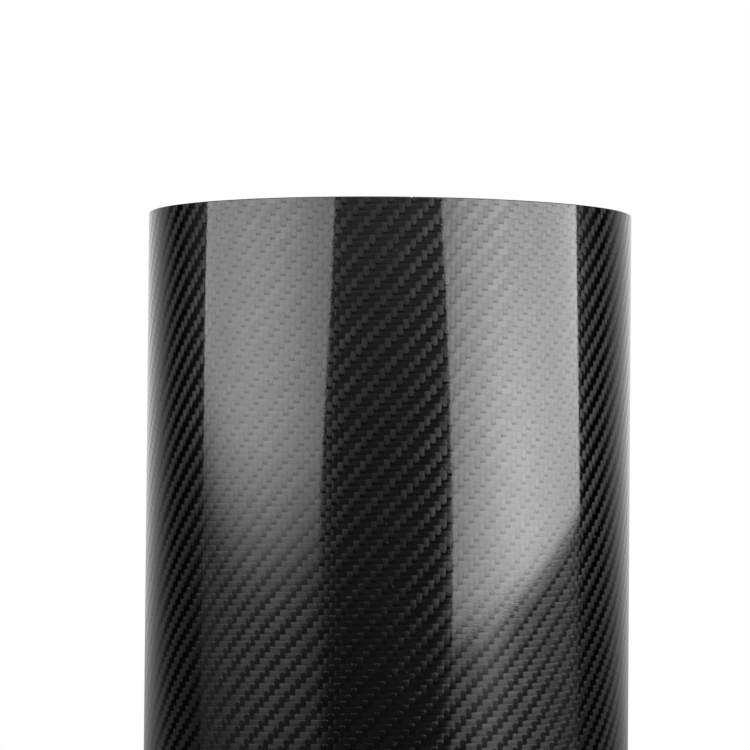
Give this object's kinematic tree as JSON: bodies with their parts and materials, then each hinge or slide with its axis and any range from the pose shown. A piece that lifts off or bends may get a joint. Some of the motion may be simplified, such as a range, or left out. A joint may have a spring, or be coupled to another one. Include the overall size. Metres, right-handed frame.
{
  "type": "carbon fibre tube",
  "caption": "Round roll-wrapped carbon fibre tube, open at both ends, with a gloss twill-weave outside, a satin bore and square sawn ends.",
  "frame": {"origin": "middle of the sawn foot, on the tube's axis", "axes": "+Z along the tube towards its chipped top end; -Y is the side that the picture shows"},
  "size_m": [0.18, 0.18, 0.5],
  "materials": {
    "carbon_laminate": "gloss"
  },
  "bodies": {
    "root": {"tube": "carbon_laminate"}
  },
  "joints": []
}
